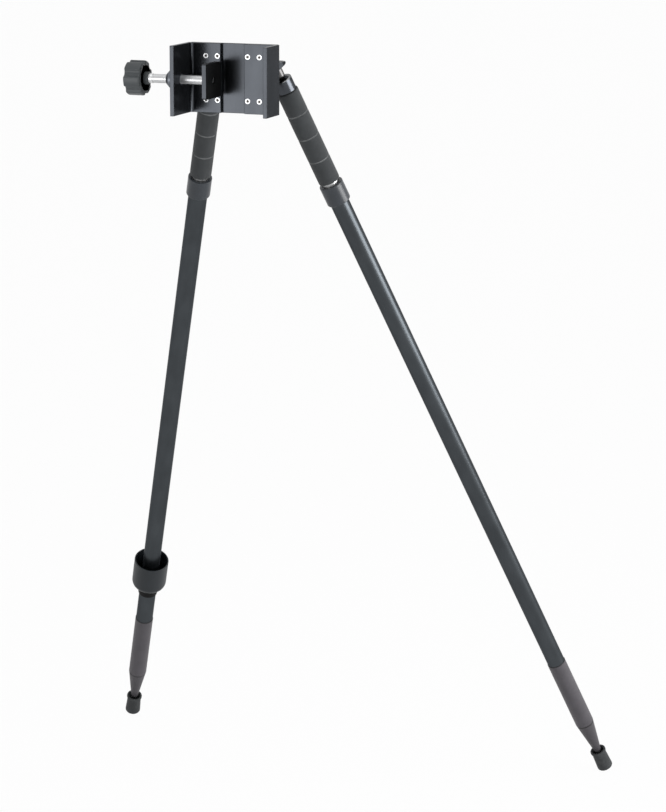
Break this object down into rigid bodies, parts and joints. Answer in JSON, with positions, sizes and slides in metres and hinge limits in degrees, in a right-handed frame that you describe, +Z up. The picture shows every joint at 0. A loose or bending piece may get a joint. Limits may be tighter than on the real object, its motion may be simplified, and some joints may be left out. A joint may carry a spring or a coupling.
{
  "type": "leveling staff stand",
  "caption": "Clamp head with a star-knob screw and telescopic prop legs on ball joints, which holds a leveling staff upright",
  "frame": {"origin": "middle of the staff's seat: the front plane of the jaw feet, midway between the jaws' inner faces and at mid-height of the head", "axes": "+X from the knob towards the fixed jaw, +Y from the staff towards the legs, +Z up along the staff"},
  "size_m": [0.6778, 0.523, 0.9529],
  "materials": {
    "head_black": "black anodised, glossy",
    "hinge_black": "black anodised, satin",
    "steel": "bright stainless",
    "zinc": "bright zinc plated",
    "knob_black": "satin moulded",
    "pad_black": "black anodised, satin",
    "pad_rubber": "matte",
    "acetal": "black acetal",
    "nylon": "natural nylon",
    "cap_black": "black anodised, glossy",
    "bare_aluminium": "drawn tube, satin",
    "tube_black": "black anodised, satin",
    "foam": "matte foam",
    "lock_black": "satin moulded",
    "tip_plastic": "matte moulded",
    "foot_rubber": "matte moulded",
    "bumper_black": "satin moulded"
  },
  "bodies": {
    "clamp_head": {"base_plate": "head_black", "screw_jaw": "head_black", "fixed_jaw": "head_black", "jaw_screws": "steel", "thread_bush": "hinge_black", "left_hinge_block": "hinge_black", "right_hinge_block": "hinge_black", "left_ball_stud": "steel", "right_ball_stud": "steel", "left_stud_nut": "steel", "right_stud_nut": "steel"},
    "pressure_pad": {"pressure_plate": "pad_black", "pad_rubber": "pad_rubber"},
    "clamp_screw": {"clamp_rod": "zinc", "clamp_knob": "knob_black", "knob_hub": "zinc", "pad_screw": "steel"},
    "left_seat": {"left_ball_seat": "acetal"},
    "left_upper_leg": {"left_socket_cap": "cap_black", "left_socket_plug": "hinge_black", "left_inner_tube": "bare_aluminium", "left_foam_grip": "foam", "left_guide_bush": "nylon"},
    "left_lower_leg": {"left_outer_tube": "tube_black", "left_thread_sleeve": "lock_black", "left_collet": "lock_black", "left_tip_sleeve": "tip_plastic", "left_tip_cone": "tip_plastic", "left_tip_spike": "steel", "left_rubber_foot": "foot_rubber"},
    "left_lock": {"left_lock_collar": "lock_black"},
    "left_bumper": {"left_bumper_collar": "bumper_black", "left_bumper_bush": "bumper_black"},
    "right_seat": {"right_ball_seat": "acetal"},
    "right_upper_leg": {"right_socket_cap": "cap_black", "right_socket_plug": "hinge_black", "right_inner_tube": "bare_aluminium", "right_foam_grip": "foam", "right_guide_bush": "nylon"},
    "right_lower_leg": {"right_outer_tube": "tube_black", "right_thread_sleeve": "lock_black", "right_collet": "lock_black", "right_tip_sleeve": "tip_plastic", "right_tip_cone": "tip_plastic", "right_tip_spike": "steel", "right_rubber_foot": "foot_rubber"},
    "right_lock": {"right_lock_collar": "lock_black"}
  },
  "joints": [
    {"name": "clamp_travel", "type": "slide", "parent": "clamp_head", "child": "pressure_pad", "axis": [1, 0, 0], "range_m": [-0.0291, 0.0163]},
    {"name": "clamp_turn", "type": "hinge", "parent": "pressure_pad", "child": "clamp_screw", "pos_m": [0, -0.0265, 0], "axis": [1, 0, 0], "range_deg": [-6990, 3921]},
    {"name": "left_splay", "type": "hinge", "parent": "clamp_head", "child": "left_seat", "pos_m": [-0.0434, 0.0493, -0.0118], "axis": [0.8231, 0.5678, 0], "range_deg": [-14, 14]},
    {"name": "left_swing", "type": "hinge", "parent": "left_seat", "child": "left_upper_leg", "pos_m": [-0.0434, 0.0493, -0.0118], "axis": [0.4952, -0.7178, -0.4894], "range_deg": [-11, 11]},
    {"name": "left_extend", "type": "slide", "parent": "left_upper_leg", "child": "left_lower_leg", "axis": [-0.2779, 0.4028, -0.8721], "range_m": [0, 0.62]},
    {"name": "left_twist", "type": "hinge", "parent": "left_lower_leg", "child": "left_lock", "pos_m": [-0.0434, 0.0493, -0.0118], "axis": [-0.2779, 0.4028, -0.8721], "range_deg": [-120, 0]},
    {"name": "left_bumper_slide", "type": "slide", "parent": "left_lower_leg", "child": "left_bumper", "axis": [-0.2779, 0.4028, -0.8721], "range_m": [-0.61, 0.048]},
    {"name": "right_splay", "type": "hinge", "parent": "clamp_head", "child": "right_seat", "pos_m": [0.0434, 0.0493, -0.0118], "axis": [0.8231, -0.5678, 0], "range_deg": [-14, 14]},
    {"name": "right_swing", "type": "hinge", "parent": "right_seat", "child": "right_upper_leg", "pos_m": [0.0434, 0.0493, -0.0118], "axis": [0.4952, 0.7178, 0.4894], "range_deg": [-11, 11]},
    {"name": "right_extend", "type": "slide", "parent": "right_upper_leg", "child": "right_lower_leg", "axis": [0.2779, 0.4028, -0.8721], "range_m": [0, 0.62]},
    {"name": "right_twist", "type": "hinge", "parent": "right_lower_leg", "child": "right_lock", "pos_m": [0.0434, 0.0493, -0.0118], "axis": [0.2779, 0.4028, -0.8721], "range_deg": [-120, 0]}
  ],
  "couplings": [
    {"joint": "clamp_turn", "follows": "clamp_travel", "rad_per_m": 4188.8}
  ]
}
